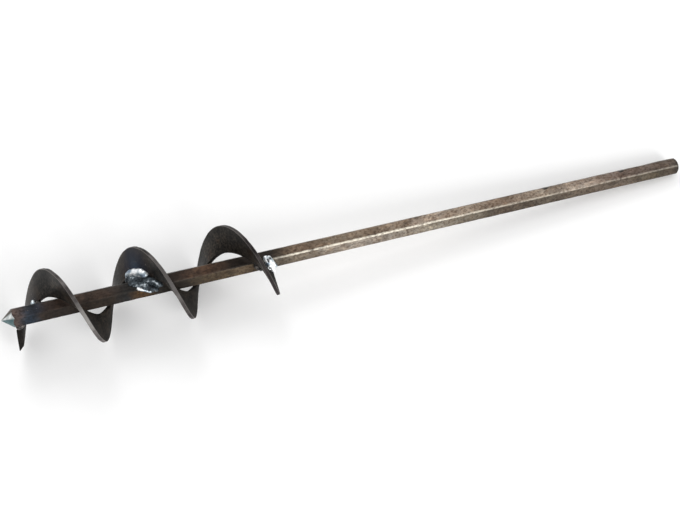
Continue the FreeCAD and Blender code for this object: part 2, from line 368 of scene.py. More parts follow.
points = points_of(bar)
depths = np.zeros(len(points))
for _ in range(DENT_COUNT):
    corner = math.radians(60) * rng.integers(6)
    place = BAR_LENGTH * rng.uniform(0.03, 0.97)
    length = MM * rng.uniform(0.8, 3.0)
    angle = corner + rng.normal(0, 0.06)
    press_dent(points, depths, place, angle, length, DENT_WIDTH, MM * rng.uniform(0.08, 0.3))
for place, depth in NICKS:
    press_dent(points, depths, place, REAR_TOP_CORNER, 3.2 * MM, 1.6 * MM, depth)
    press_dent(points, depths, place - 4 * MM, REAR_CORNER, 2.0 * MM, 1.5 * MM, depth / 2)

# %% Swollen drive end
SWELL_PLACE = 673 * MM
SWELL_LENGTH = 13 * MM
WAIST_PLACE = 652 * MM
WAIST_LENGTH = 9 * MM
SWELL_HEIGHT = 0.22 * MM
WAIST_DEPTH = 0.30 * MM
SWOLLEN_SIDE = math.radians(-60)
RIPPLE_HEIGHT = 0.07 * MM
RIPPLES_PER_METRE = 90

radius, azimuth = polar(points)
swell = SWELL_HEIGHT * np.exp(-(((points[:, 0] - SWELL_PLACE) / SWELL_LENGTH) ** 2))
waist = WAIST_DEPTH * np.exp(-(((points[:, 0] - WAIST_PLACE) / WAIST_LENGTH) ** 2))
one_sided = 0.5 + 0.5 * np.cos(azimuth - SWOLLEN_SIDE)
ripple = np.array([noise.noise(Vector(p) * RIPPLES_PER_METRE) for p in points]) * RIPPLE_HEIGHT
growth = (swell - waist) * one_sided + ripple * (points[:, 0] > END_ZONE)
points[:, 1:] *= (1 + growth / np.maximum(radius, MM))[:, None]
set_points(bar, points)
dent = bar.data.attributes.new("dent", "FLOAT", "POINT")
dent.data.foreach_set("value", depths / MM)
only(bar)
bpy.ops.object.shade_smooth_by_angle(angle=math.radians(24))
print("deepest dent", round(depths.max() / MM, 2), "mm")

# %% [markdown]
# ## The ribbon
# The flight is one length of flat bar, wound edge-on into a helix that stands clear of the hexagon
# bar. It is modelled the way it was made: first straight, with its corners rounded, its tail corner
# ground and its lead end bevelled to a tooth, then cut into short lengths and wound. X runs along the
# strip, Y is the distance from the bar's axis and Z goes through the thickness.

# %% Straight strip
INNER_RADIUS = 12.58 * MM
OUTER_RADIUS = 38.02 * MM
THICKNESS = 3.2 * MM
FIRST_TURN = 0.111
LAST_TURN = 2.951
TURN_LENGTH = 251.3 * MM
STRIP_LENGTH = (LAST_TURN - FIRST_TURN) * TURN_LENGTH
TAIL_CORNER_FROM = 30 * MM
TAIL_ROUND = 2.5 * MM
EDGE_ROUND = 0.45 * MM
TOOTH_DEPTH = 2.6 * MM
TOOTH_LENGTH = 6 * MM

bpy.ops.object.select_all(action="DESELECT")
bpy.ops.mesh.primitive_cube_add(
    size=1,
    location=(STRIP_LENGTH / 2, (INNER_RADIUS + OUTER_RADIUS) / 2, 0),
    scale=(STRIP_LENGTH, OUTER_RADIUS - INNER_RADIUS, THICKNESS),
)
ribbon = new_piece("ribbon")
tooth_line = (0, 0, THICKNESS / 2 - TOOTH_DEPTH)
cut_across(ribbon, tooth_line, (-TOOTH_DEPTH, 0, TOOTH_LENGTH), use_fill=True, clear_outer=True)
edit(
    ribbon,
    "EDGE",
    lambda edge: all(v.co.x > STRIP_LENGTH / 2 and v.co.y > TAIL_CORNER_FROM for v in edge.verts),
)
bpy.ops.mesh.bevel(offset=TAIL_ROUND, segments=7, affect="EDGES")
edit(
    ribbon,
    "EDGE",
    lambda edge: abs(edge_vector(edge).z) < 1e-6 and max(v.co.x for v in edge.verts) > STRIP_LENGTH / 2,
)
bpy.ops.mesh.bevel(offset=EDGE_ROUND, segments=3, affect="EDGES")
done()
print("strip is", round(STRIP_LENGTH, 3), "m long")

# %% Cross cuts
TOOTH_ZONE = 14 * MM
TAIL_ZONE = 6 * MM
ACROSS_CUTS = 15
CUT_SPACING = 1.5 * MM

for step in range(1, ACROSS_CUTS):
    height = INNER_RADIUS + (OUTER_RADIUS - INNER_RADIUS) * step / ACROSS_CUTS
    cut_across(ribbon, (0, height, 0), (0, 1, 0))
near_ends = [TOOTH_ZONE * step / 7 for step in range(1, 8)]
near_ends += [STRIP_LENGTH - TAIL_ZONE * step / 4 for step in range(1, 5)]
for place in near_ends:
    cut_across(ribbon, (place, 0, 0), (1, 0, 0))
divide_lengthwise(ribbon, STRIP_LENGTH / 2, CUT_SPACING)
print("strip has", len(ribbon.data.polygons), "faces")

# %% [markdown]
# ## Winding it
# Winding is a mapping: a place along the strip becomes an angle and a distance along the bar, and the
# thickness goes off at right angles to the helical face. The real winding isn't perfectly true: its
# axis runs off the bar's by a couple of millimetres and its pitch opens slightly, so both are in the
# formula. The flat coordinates are kept as a UV map, so that the finish can follow the strip. Winding
# also turns the strip inside out, as a mirror would, so its faces are made to point outwards again.

# %% Winding
def helix_frame(turn):
    """Where the winding's axis is at a turn, how far along, and its rise for each radian."""
    middle = (3.226 + 78.483 * turn + 0.894 * turn**2) * MM
    offset_y = (-2.234 + 1.607 * turn) * MM
    offset_z = (-1.098 + 0.705 * turn) * MM
    rise = (78.483 + 2 * 0.894 * turn) * MM / (2 * math.pi)
    return middle, offset_y, offset_z, rise


def wind(flat):
    """Turn rows of places on the straight strip into places on the helix."""
    turn = FIRST_TURN + flat[:, 0] / TURN_LENGTH
    middle, offset_y, offset_z, rise = helix_frame(turn)
    azimuth = 2 * math.pi * turn - math.radians(150)
    slant = np.hypot(flat[:, 1], rise)
    lift_along = flat[:, 2] * flat[:, 1] / slant
    lift_round = -flat[:, 2] * rise / slant
    x = middle + lift_along
    y = offset_y + flat[:, 1] * np.cos(azimuth) - lift_round * np.sin(azimuth)
    z = offset_z + flat[:, 1] * np.sin(azimuth) + lift_round * np.cos(azimuth)
    return np.stack([x, y, z], axis=1)


# %% Edge nicks, UV map and winding
NICK_COUNT = 70
NICK_REACH = 1.2 * MM
WAVE_HEIGHT = 0.15 * MM

flat = points_of(ribbon)
strip_uv = ribbon.data.uv_layers.new(name="strip")
corner_points = np.array([loop.vertex_index for loop in ribbon.data.loops])
strip_uv.data.foreach_set("uv", flat[corner_points, :2].ravel())
for _ in range(NICK_COUNT):
    place = STRIP_LENGTH * rng.uniform(0.02, 0.98)
    length = MM * rng.uniform(1.2, 4.0)
    away_along = (flat[:, 0] - place) / length
    away_inward = (OUTER_RADIUS - flat[:, 1]) / NICK_REACH
    flat[:, 1] -= MM * rng.uniform(0.1, 0.35) * np.exp(-(away_along**2) - away_inward**2)
wave = np.array([noise.noise(Vector((p[0] * 30, p[1] * 60, 3.1))) for p in flat])
flat[:, 2] += WAVE_HEIGHT * wave
set_points(ribbon, wind(flat))
edit(ribbon, "FACE", lambda face: True)
bpy.ops.mesh.normals_make_consistent(inside=False)
done()
only(ribbon)
bpy.ops.object.shade_smooth_by_angle(angle=math.radians(30))
print("ribbon reaches", round(points_of(ribbon)[:, 0].max(), 4), "m along the bar")

# %% [markdown]
# ## Welds
# A weld is laid down as one small pool after another, each frozen half over the last. So each weld is
# a chain of flattened balls along the joint, joined and remeshed into one skin, which keeps the creases
# between the pools. A little noise and a few craters then take away the regularity.

# %% Places along the joint
WELD_GRAIN = 0.3 * MM
CRUMB_VERTICES = 200
LUMPS_PER_METRE = 260
CRATER_DEPTH = 0.8 * MM


def joint_place(azimuth, radius, step_along=0.0):
    """A place level with the ribbon, by its azimuth in degrees and its millimetres from the bar's axis."""
    turn = (azimuth + 150) / 360
    middle, offset_y, offset_z, _ = helix_frame(turn)
    angle = math.radians(azimuth)
    y, z = radius * MM * math.cos(angle), radius * MM * math.sin(angle)
    swept = (offset_z * math.cos(angle) - offset_y * math.sin(angle)) / (radius * MM)
    return Vector((middle + step_along * MM - swept * helix_frame(turn)[3], y, z))


def pool(place, size, tilt):
    """One frozen pool of metal: a ball, flattened a little and tipped at random."""
    bpy.ops.object.select_all(action="DESELECT")
    turn = [tilt.uniform(-0.5, 0.5) for _ in range(3)]
    sides = [size * MM * share for share in (tilt.uniform(0.85, 1.15), tilt.uniform(0.95, 1.2), 0.85)]
    bpy.ops.mesh.primitive_ico_sphere_add(
        subdivisions=3, radius=1, location=place, rotation=turn, scale=sides
    )
    return new_piece("pool")


def joint_chain(count, size, azimuth, turn, radius, outward=0.0, zigzag=0.0, along=0.0, taper=0.0):
    """Pools along the joint, each a turn in degrees further round and a little further out."""
    return [
        (
            joint_place(azimuth + turn * step, radius + outward * step + zigzag * (step % 2), along),
            size - taper * step,
        )
        for step in range(count)
    ]


# %% One weld
def drop_crumbs(piece):
    """Remove the tiny closed scraps that remeshing can leave in a gap between two pools."""
    only(piece)
    bpy.ops.mesh.separate(type="LOOSE")
    parts = sorted(bpy.context.selected_objects, key=lambda part: len(part.data.vertices))
    whole = parts[-1]
    for part in parts[:-1]:
        if len(part.data.vertices) < CRUMB_VERTICES:
            bpy.data.objects.remove(part)
    bpy.context.view_layer.objects.active = whole
    if len(bpy.context.selected_objects) > 1:
        bpy.ops.object.join()
    return whole


def weld(name, pools, seed, craters=0, lumps=0.2, smoothing=5):
    """Join pools given as (place, size in millimetres) into one rippled weld with a few craters."""
    tilt = np.random.default_rng(seed)
    chain = [pool(place, size, tilt) for place, size in pools]
    only(chain[0])
    for ball in chain:
        ball.select_set(True)
    if len(chain) > 1:
        bpy.ops.object.join()
    piece = bpy.context.object
    apply_modifier(piece, "REMESH", mode="VOXEL", voxel_size=WELD_GRAIN, use_smooth_shade=True)
    piece = drop_crumbs(piece)
    piece.name = name
    apply_modifier(piece, "SMOOTH", factor=0.5, iterations=smoothing)
    places = points_of(piece)
    normals = np.array([v.normal for v in piece.data.vertices])
    bumps = [noise.fractal(Vector(p) * LUMPS_PER_METRE, 1.0, 2.0, 2) for p in places]
    shift = np.array(bumps) * lumps * MM
    hollow = np.zeros(len(places))
    for _ in range(craters):
        middle = places[tilt.integers(len(places))]
        gap = np.linalg.norm(places - middle, axis=1)
        width = tilt.uniform(0.8, 1.5) * MM
        hollow += np.exp(-((gap / width) ** 2))
    set_points(piece, places + normals * (shift - CRATER_DEPTH * np.minimum(hollow, 1.2))[:, None])
    crater = piece.data.attributes.new("crater", "FLOAT", "POINT")
    crater.data.foreach_set("value", np.minimum(hollow, 1.0))
    print(name, "from", len(chain), "pools,", len(piece.data.polygons), "faces")
    return piece


# %% [markdown]
# ### At the lead end
# A bead fills the gap between the ribbon and the bar, from the tooth underneath round to the back.
# Where it ends, a short tack climbs outwards on the side of the ribbon that faces the point.

# %% Lead end welds
ROOT_POOL = 3.2


def gap_middle(azimuth):
    """Halfway between the bar's side and the inner edge of the ribbon, in millimetres."""
    turn = (azimuth + 150) / 360
    _, offset_y, offset_z, _ = helix_frame(turn)
    angle = math.radians(azimuth)
    bar_side = ACROSS_FLATS / 2 / math.cos(math.radians(azimuth % 60 - 30))
    ribbon_side = INNER_RADIUS + offset_y * math.cos(angle) + offset_z * math.sin(angle)
    return (bar_side + ribbon_side) / 2 / MM


root_pools = [(joint_place(azimuth, gap_middle(azimuth)), ROOT_POOL) for azimuth in range(-111, -19, 7)]
lead_root = weld("lead_root_bead", root_pools, seed=11, craters=3)
tack_pools = joint_chain(3, 2.3, azimuth=-24, turn=2, radius=10.8, outward=1.9, along=-2.9, taper=0.25)
lead_tack = weld("lead_tack_bead", tack_pools, seed=12, lumps=0.1)

# %% [markdown]
# ### In the middle
# This weld is the largest. A run of small cratered beads fills the corner between the ribbon and the
# bar, and a wide, smooth puddle lies outside it. Both send thinner tongues over the bar's front corner.

# %% Middle welds
def on_bar(along_bar, across):
    """A place on the bar's top flat, or past its front corner on its front flat, in millimetres."""
    corner = CORNER_RADIUS / 2 / MM
    past = max(0.0, -across - corner)
    return Vector((along_bar, across + past / 2, ACROSS_FLATS / 2 / MM - past * math.sqrt(3) / 2)) * MM


def bar_chain(count, size, along_bar, across, step):
    """Pools over the bar's top and front flats, by equal steps along it and across it."""
    return [(on_bar(along_bar + step[0] * i, across + step[1] * i), size) for i in range(count)]


run_pools = joint_chain(15, 3.5, azimuth=367, turn=7.5, radius=10.2, outward=-0.06, along=-3.8)
run_pools += bar_chain(10, 2.7, along_bar=115, across=4.5, step=(2.2, -1.35))
run_pools += bar_chain(8, 1.9, along_bar=113, across=2.5, step=(2.6, -1.55))
mid_run = weld("mid_run_bead", run_pools, seed=13, craters=7)
puddle_pools = joint_chain(9, 4.0, azimuth=369, turn=6, radius=14.4, zigzag=0.8, along=-1.9)
puddle_pools += bar_chain(8, 1.7, along_bar=119, across=-3.4, step=(1.5, -0.8))
mid_puddle = weld("mid_puddle_bead", puddle_pools, seed=14, lumps=0.03, smoothing=50)

# %% [markdown]
# ### At the tail
# The last weld goes round the front of the bar more squarely than the ribbon does, so it is built from
# places along the bar instead of places along the joint. A smaller bead lies on the side of the ribbon
# that faces the point.

# %% Tail welds
def cross_chain(count, size, azimuth, turn, radius, along_bar, step_along=0.0, swell=0.0):
    """Pools round the bar, by degrees of turn, each a step further along it and further out."""
    pools = []
    for step in range(count):
        place = joint_place(azimuth + turn * step, radius + swell * step**2)
        place.x = (along_bar + step_along * step) * MM
        pools.append((place, size))
    return pools


outer_pools = cross_chain(
    9, 3.3, azimuth=833, turn=9, radius=8.9, along_bar=238.3, step_along=0.7, swell=0.04 / 1.3
)
outer_pools += cross_chain(6, 2.5, azimuth=832, turn=11, radius=9.1, along_bar=241.5, step_along=0.9)
outer_pools += cross_chain(1, 3.2, azimuth=887, turn=0, radius=10.0, along_bar=239)
tail_outer = weld("tail_outer_bead", outer_pools, seed=15, craters=6)
inner_pools = joint_chain(5, 2.9, azimuth=856, turn=5, radius=9.9, along=-4.3)
tail_inner = weld("tail_inner_bead", inner_pools, seed=16, craters=1)

# %% [markdown]
# ## Weld spatter
# Sparks leave small beads of metal stuck to the steel near each weld. One low ball is modelled, pressed
# flat underneath, and copied to seeded places on the ribbon's face and on the bar beside the welds.

# %% Spatter
SPATTER_COUNT = 34
WELD_TURNS = [0.36, 1.5, 2.72]
WELD_PLACES = [30, 128, 243]


def spatter_bead(place, normal, size):
    """One small half-sunk bead on a surface."""
    bpy.ops.object.select_all(action="DESELECT")
    turn = Vector(normal).to_track_quat("Z", "Y").to_euler()
    bpy.ops.mesh.primitive_ico_sphere_add(
        subdivisions=2, radius=1, location=place, rotation=turn, scale=(size, size, size * 0.6)
    )
    return new_piece("bead")


beads = []
for step in range(SPATTER_COUNT):
    size = MM * rng.uniform(0.2, 0.55)
    if step % 3:
        turn_at = rng.choice(WELD_TURNS) + rng.uniform(-0.09, 0.12)
        strip_along = (turn_at - FIRST_TURN) * TURN_LENGTH
        strip_place = np.array([[strip_along, MM * rng.uniform(15, 26), -THICKNESS / 2]])
        place = Vector(wind(strip_place)[0])
        inside = Vector(wind(strip_place + [[0, 0, MM]])[0])
        beads.append(spatter_bead(place, place - inside, size))
    else:
        side = math.radians(60 * rng.integers(-1, 3) - 30)
        normal = Vector((0, math.cos(side), math.sin(side)))
        place = normal * ACROSS_FLATS / 2
        place.x = MM * (rng.choice(WELD_PLACES) + rng.normal(0, 9))
        beads.append(spatter_bead(place, normal, size))
only(beads[0])
for bead in beads:
    bead.select_set(True)
bpy.ops.object.join()
spatter = bpy.context.object
spatter.name = "weld_spatter"
bpy.ops.object.shade_smooth()
print("spatter beads", SPATTER_COUNT)

# %% [markdown]
# ## Finishes
# The auger is all steel, but its steel looks different in each place: the bar's drawn surface, brown
# with heat near the flight and paler towards the drive end; the ground point; the ribbon's dark mill
# scale, rubbed along its outer edge and given painted highlights there; and weld metal, bright,
# blue-grey or dull. All are built from noise and colour ramps on the piece's own coordinates, so they
# show the same thing from every side.

# %% Node helpers
def new_finish(name):
    """An empty material with its node tree and its shader."""
    finish = bpy.data.materials.new(name)
    finish.use_nodes = True
    return finish, finish.node_tree, finish.node_tree.nodes["Principled BSDF"]


def connect(tree, target, inputs):
    """Link or set a node's inputs, given by name or by number."""
    for key, value in inputs.items():
        if isinstance(value, bpy.types.NodeSocket):
            tree.links.new(value, target.inputs[key])
        else:
            target.inputs[key].default_value = value


def node(tree, kind, inputs=None, **settings):
    """Add a node, with values or links for its inputs and its own settings."""
    made = tree.nodes.new("ShaderNode" + kind)
    for name, value in settings.items():
        setattr(made, name, value)
    connect(tree, made, inputs or {})
    return made


def tone(red, green, blue):
    """A colour given as display values from 0 to 255."""
    values = [c / 255 for c in (red, green, blue)]
    return tuple(c / 12.92 if c < 0.04045 else ((c + 0.055) / 1.055) ** 2.4 for c in values) + (1.0,)


def ramp(tree, factor, stops):
    """A colour ramp through (position, colour) stops; a plain number stands for a grey."""
    made = node(tree, "ValToRGB", {"Fac": factor})
    elements = made.color_ramp.elements
    while len(elements) < len(stops):
        elements.new(0.5)
    for element, (position, colour) in zip(elements, stops):
        element.position = position
        element.color = colour if isinstance(colour, tuple) else (colour, colour, colour, 1)
    return made.outputs["Color"]


def speckle(tree, vector, size, stretch=(1, 1, 1), detail=3.0, rough=0.55):
    """Noise whose patches are about a size in millimetres, stretched along each axis."""
    stretched = node(tree, "Mapping", {"Vector": vector, "Scale": [1 / s for s in stretch]})
    pattern = {"Vector": stretched.outputs[0], "Scale": 1 / (size * MM)}
    pattern.update({"Detail": detail, "Roughness": rough})
    return node(tree, "TexNoise", pattern).outputs["Fac"]


def remap(tree, value, low, high, to_low=0.0, to_high=1.0):
    """Carry one range of values to another and hold what lies outside at its ends."""
    ends = {"Value": value, "From Min": low, "From Max": high, "To Min": to_low, "To Max": to_high}
    return node(tree, "MapRange", ends).outputs[0]


def maths(tree, operation, *values):
    """One step of arithmetic on sockets and plain numbers."""
    return node(tree, "Math", dict(enumerate(values)), operation=operation).outputs[0]


def blend(tree, factor, first, second, kind="MIX"):
    """Mix two colours, each a socket or a fixed colour."""
    made = node(tree, "Mix", {"Factor": factor}, data_type="RGBA", blend_type=kind)
    connect(tree, made, {6: first, 7: second})
    return made.outputs[2]


def stain(tree, colour, pattern, stops, tint):
    """Multiply a colour by a tint where a pattern, read through a ramp, is strong."""
    return blend(tree, ramp(tree, pattern, stops), colour, (*tint, 1), "MULTIPLY")


def stored(tree, name):
    """A value that was stored on the mesh's vertices."""
    return node(tree, "Attribute", attribute_name=name).outputs["Fac"]


def bar_place(tree):
    """Object coordinates turned into the bar's own frame."""
    coordinates = node(tree, "TexCoord").outputs["Object"]
    turned = {"Vector": coordinates, "Location": point, "Rotation": BAR_FRAME.to_euler()}
    return node(tree, "Mapping", turned, vector_type="TEXTURE").outputs[0]


def bump(tree, shader, height, strength, distance):
    """Raise the surface by a pattern, by a distance in millimetres."""
    raised = node(tree, "Bump", {"Height": height, "Strength": strength, "Distance": distance * MM})
    tree.links.new(raised.outputs[0], shader.inputs["Normal"])


NOISE_LOW, NOISE_HIGH = 0.3, 0.7

# %% [markdown]
# ### Bar steel
# The colour runs along the bar: straw, blue and pink heat tints beside the welds, brown scale between
# the turns, then paler drawn steel. The top flat has its own tones apart from the sides, which differ
# partly by weathering and partly as painted light and shade. Patches, fine specks, rusty spots and short
# cross bands are laid over that. The corner between the top and front flats carries a painted highlight,
# and the dents are darker the deeper they are.

# %% Bar steel
bar_finish, tree, shader = new_finish("bar_steel")
place = bar_place(tree)
parts = node(tree, "SeparateXYZ", {"Vector": place})
share = maths(tree, "DIVIDE", parts.outputs["X"], BAR_LENGTH)
wander = speckle(tree, place, 14, stretch=(2.5, 1, 1))
share = maths(tree, "ADD", share, remap(tree, wander, NOISE_LOW, NOISE_HIGH, -0.006, 0.006))
# Tones along the bar for the top flat; SIDE_TONES below is for the other flats. Their difference is partly
# weathering and partly painted light and shade.
TOP_TONES = [
    (0.022, tone(86, 74, 71)),
    (0.030, tone(50, 57, 68)),
    (0.044, tone(40, 46, 58)),
    (0.056, tone(48, 38, 34)),
    (0.070, tone(56, 44, 37)),
    (0.130, tone(60, 48, 40)),
    (0.160, tone(44, 44, 44)),
    (0.200, tone(34, 31, 28)),
    (0.230, tone(54, 41, 33)),
    (0.262, tone(84, 64, 50)),
    (0.300, tone(38, 31, 26)),
    (0.350, tone(40, 34, 30)),
    (0.375, tone(104, 90, 76)),
    (0.400, tone(122, 106, 91)),
    (0.460, tone(138, 126, 111)),
    (0.470, tone(130, 117, 102)),
    (0.555, tone(138, 124, 110)),
    (0.565, tone(166, 154, 142)),
    (0.650, tone(160, 148, 134)),
    (0.700, tone(136, 120, 106)),
    (0.770, tone(158, 147, 134)),
    (0.840, tone(164, 152, 141)),
    (0.895, tone(118, 104, 96)),
    (0.985, tone(104, 94, 86)),
    (0.998, tone(58, 53, 48)),
]
SIDE_TONES = [
    (0.022, tone(80, 69, 66)),
    (0.029, tone(44, 52, 62)),
    (0.040, tone(30, 42, 56)),
    (0.052, tone(44, 36, 30)),
    (0.075, tone(36, 29, 23)),
    (0.110, tone(50, 41, 33)),
    (0.140, tone(40, 32, 24)),
    (0.160, tone(38, 40, 42)),
    (0.178, tone(84, 62, 34)),
    (0.194, tone(38, 34, 29)),
    (0.232, tone(38, 32, 24)),
    (0.262, tone(80, 69, 53)),
    (0.330, tone(98, 85, 68)),
    (0.348, tone(38, 36, 36)),
    (0.372, tone(116, 108, 96)),
    (0.410, tone(128, 121, 110)),
    (0.455, tone(158, 151, 141)),
    (0.520, tone(138, 131, 122)),
    (0.590, tone(146, 140, 128)),
    (0.640, tone(112, 106, 95)),
    (0.700, tone(82, 73, 63)),
    (0.780, tone(92, 84, 74)),
    (0.900, tone(102, 92, 82)),
    (0.955, tone(84, 77, 64)),
    (0.985, tone(92, 84, 74)),
    (0.998, tone(52, 48, 44)),
]

# %% Bar patterns
TOP_FLAT_FROM = 0.47 * ACROSS_FLATS

top_colour = ramp(tree, share, TOP_TONES)
side_colour = ramp(tree, share, SIDE_TONES)
is_top = maths(tree, "GREATER_THAN", parts.outputs["Z"], TOP_FLAT_FROM)
# the top flat takes its own tones: partly weathering, partly painted light and shade
colour = blend(tree, is_top, side_colour, top_colour)
patches = speckle(tree, place, 9, stretch=(2.2, 1, 1))
bands = speckle(tree, place, 7, stretch=(1, 30, 30), detail=1.0)
grain = speckle(tree, place, 1.7, stretch=(1.5, 1, 1), detail=5.0, rough=0.65)
pale = speckle(tree, place, 3.1, stretch=(1.6, 1, 1), detail=4.0)
rusty = speckle(tree, place, 5, stretch=(2, 1, 1), detail=4.0)
colour = stain(tree, colour, patches, [(0.36, 0.75), (0.62, 0.0)], (0.45, 0.40, 0.36))
colour = stain(tree, colour, bands, [(0.30, 0.45), (0.44, 0.0)], (0.5, 0.46, 0.44))
colour = stain(tree, colour, grain, [(0.4, 1.0), (0.53, 0.0)], (0.5, 0.45, 0.42))
colour = stain(tree, colour, pale, [(0.5, 0.0), (0.66, 0.9)], (1.45, 1.42, 1.36))
colour = stain(tree, colour, rusty, [(0.42, 0.0), (0.6, 1.0)], (1.04, 0.98, 0.93))
print("bar colour has", len(tree.nodes), "nodes so far")

# %% Painted highlight on the corner, and darker dents
# strength of the painted highlight on the corner between the top and front flats, along the bar
RIDGE_HIGHLIGHT_SHARES = [(0.0, 0.0), (0.34, 0.03), (0.38, 0.9), (0.58, 1.0), (0.64, 0.75), (0.70, 0.4), (0.88, 0.25)]

across_axis = node(tree, "CombineXYZ", {"Y": parts.outputs["Y"], "Z": parts.outputs["Z"]}).outputs[0]
off_axis = node(tree, "VectorMath", {0: across_axis}, operation="LENGTH").outputs["Value"]
corner = remap(tree, off_axis, 8.5 * MM, 8.85 * MM)
in_front = remap(tree, parts.outputs["Y"], -2 * MM, -4 * MM)
above = remap(tree, parts.outputs["Z"], 4 * MM, 6 * MM)
ridge_highlight = ramp(tree, share, RIDGE_HIGHLIGHT_SHARES)
for mask in (corner, in_front, above, ramp(tree, grain, [(0.4, 0.45), (0.55, 1.0)])):
    ridge_highlight = maths(tree, "MULTIPLY", ridge_highlight, mask)
# painted highlight along the corner between the top and front flats, broken up by the grain
colour = blend(tree, ridge_highlight, colour, tone(224, 217, 202))
# the dents are darker the deeper they are
colour = blend(tree, ramp(tree, stored(tree, "dent"), [(0.08, 0.0), (0.5, 0.85)]), colour, tone(22, 20, 18))
roughness = remap(tree, patches, NOISE_LOW, NOISE_HIGH, 0.62, 0.42)
connect(tree, shader, {"Base Color": colour, "Roughness": roughness, "Metallic": 0.35})
shader.inputs["Specular IOR Level"].default_value = 0.25
bump(tree, shader, grain, 0.5, 0.15)
print("bar steel has", len(tree.nodes), "nodes")

# %% [markdown]
# ### Ground steel
# The cone at the point was ground after the bar was cut, so it is bare and bright, with fine scratches
# that run round it: clean on top, where its near-white tone is a painted highlight, tinted green-blue by
# heat in front, where it is also painted darker as painted shade, and still brown at the rear. It is a
# second material on the faces that look towards the point.

# %% Ground steel
ground_finish, tree, shader = new_finish("ground_steel")
place = bar_place(tree)
scratches = speckle(tree, place, 0.5, stretch=(0.5, 6, 6), detail=2.0)
parts = node(tree, "SeparateXYZ", {"Vector": place})
cloud = speckle(tree, place, 3.5)
# clean ground steel with a painted highlight: the near-white tone on top
clean_and_highlight = ramp(tree, cloud, [(0.38, tone(206, 212, 212)), (0.62, tone(246, 248, 246))])
heat_tint_and_shade = ramp(tree, cloud, [(0.38, tone(66, 92, 96)), (0.62, tone(104, 126, 128))])
across_axis = node(tree, "CombineXYZ", {"Y": parts.outputs["Y"], "Z": parts.outputs["Z"]}).outputs[0]
outward = node(tree, "VectorMath", {0: across_axis}, operation="NORMALIZE").outputs[0]
rearward = node(tree, "SeparateXYZ", {"Vector": outward}).outputs["Y"]
# painted shade: the front of the cone is darker teal, which is also a heat tint
colour = blend(tree, remap(tree, rearward, -0.4, -0.6), clean_and_highlight, heat_tint_and_shade)
colour = blend(tree, remap(tree, rearward, 0.0, 0.3), colour, tone(84, 78, 72))
colour = stain(tree, colour, scratches, [(0.4, 0.5), (0.55, 0.0)], (0.5, 0.5, 0.52))
roughness = remap(tree, scratches, 0.0, 1.0, 0.2, 0.42)
connect(tree, shader, {"Base Color": colour, "Roughness": roughness, "Metallic": 0.9})
bump(tree, shader, scratches, 0.35, 0.05)
print("ground steel has", len(tree.nodes), "nodes")

# %% [markdown]
# ### Mill scale
# Hot rolled flat bar has a dark, slightly glossy skin. It follows the strip, so its UV map carries the
# pattern: faint rolling streaks along it, rust-brown clouds, a rubbed outer edge with painted highlights,
# and blue and violet tints where the welding heat went through. The lower front of each turn is duller,
# and it is painted darker there as painted shade.

# %% Mill scale
scale_finish, tree, shader = new_finish("mill_scale_steel")
strip_place = node(tree, "UVMap", uv_map="strip").outputs[0]
strip_parts = node(tree, "SeparateXYZ", {"Vector": strip_place})
place = node(tree, "TexCoord").outputs["Object"]
clouds = speckle(tree, place, 16, detail=4.0)
streaks = speckle(tree, strip_place, 1.2, stretch=(14, 1, 1), detail=3.0)
mottle = speckle(tree, place, 2.2, detail=5.0, rough=0.65)
CLOUD_TONES = [
    (0.34, tone(30, 29, 27)),
    (0.5, tone(41, 38, 35)),
    (0.6, tone(52, 48, 43)),
    (0.7, tone(50, 40, 33)),
]
colour = ramp(tree, clouds, CLOUD_TONES)
colour = stain(tree, colour, streaks, [(0.4, 0.35), (0.6, 0.0)], (0.6, 0.6, 0.62))
colour = stain(tree, colour, mottle, [(0.42, 0.9), (0.5, 0.0)], (0.5, 0.5, 0.5))
colour = stain(tree, colour, mottle, [(0.5, 0.0), (0.6, 0.9)], (1.9, 1.8, 1.7))
print("mill scale starts with", len(tree.nodes), "nodes")


# %% Heat tints
def heat_spot(tree, colour, turn, across, reach, stops):
    """Lay a heat tint round a place on the strip, given in turns and millimetres."""
    middle = ((turn - FIRST_TURN) * TURN_LENGTH, across * MM, 0)
    away = node(tree, "VectorMath", {0: strip_place, 1: middle}, operation="DISTANCE").outputs["Value"]
    uneven = maths(tree, "MULTIPLY_ADD", away, clouds, away)
    near = remap(tree, uneven, 0.0, reach * MM * 1.5)
    strength = ramp(tree, near, [(0.0, 1.0), (0.55, 0.7), (1.0, 0.0)])
    return blend(tree, strength, colour, ramp(tree, near, stops))


BLUE_HEAT = [
    (0.0, tone(62, 74, 88)),
    (0.35, tone(40, 45, 57)),
    (0.6, tone(38, 36, 44)),
    (0.85, tone(58, 46, 38)),
]
BROWN_HEAT = [(0.0, tone(34, 34, 38)), (0.4, tone(32, 28, 28)), (0.8, tone(54, 43, 36))]
colour = heat_spot(tree, colour, turn=1.50, across=17, reach=38, stops=BLUE_HEAT)
colour = heat_spot(tree, colour, turn=0.36, across=14, reach=22, stops=BROWN_HEAT)
colour = heat_spot(tree, colour, turn=2.80, across=14, reach=26, stops=BROWN_HEAT)

# %% Painted shade and dullness on the lower front
LOWER_FRONT = math.radians(206)

first_angle = 2 * math.pi * FIRST_TURN - math.radians(150) - LOWER_FRONT
angle = maths(tree, "MULTIPLY_ADD", strip_parts.outputs["X"], 2 * math.pi / TURN_LENGTH, first_angle)
painted_shade_and_dullness = remap(tree, maths(tree, "COSINE", angle), -0.2, 0.6)
# painted shade: the lower front of each turn is darkened, most at LOWER_FRONT
colour = blend(tree, painted_shade_and_dullness, colour, (0.5, 0.48, 0.45, 1), "MULTIPLY")
print("lower front at", round(math.degrees(LOWER_FRONT)), "degrees")

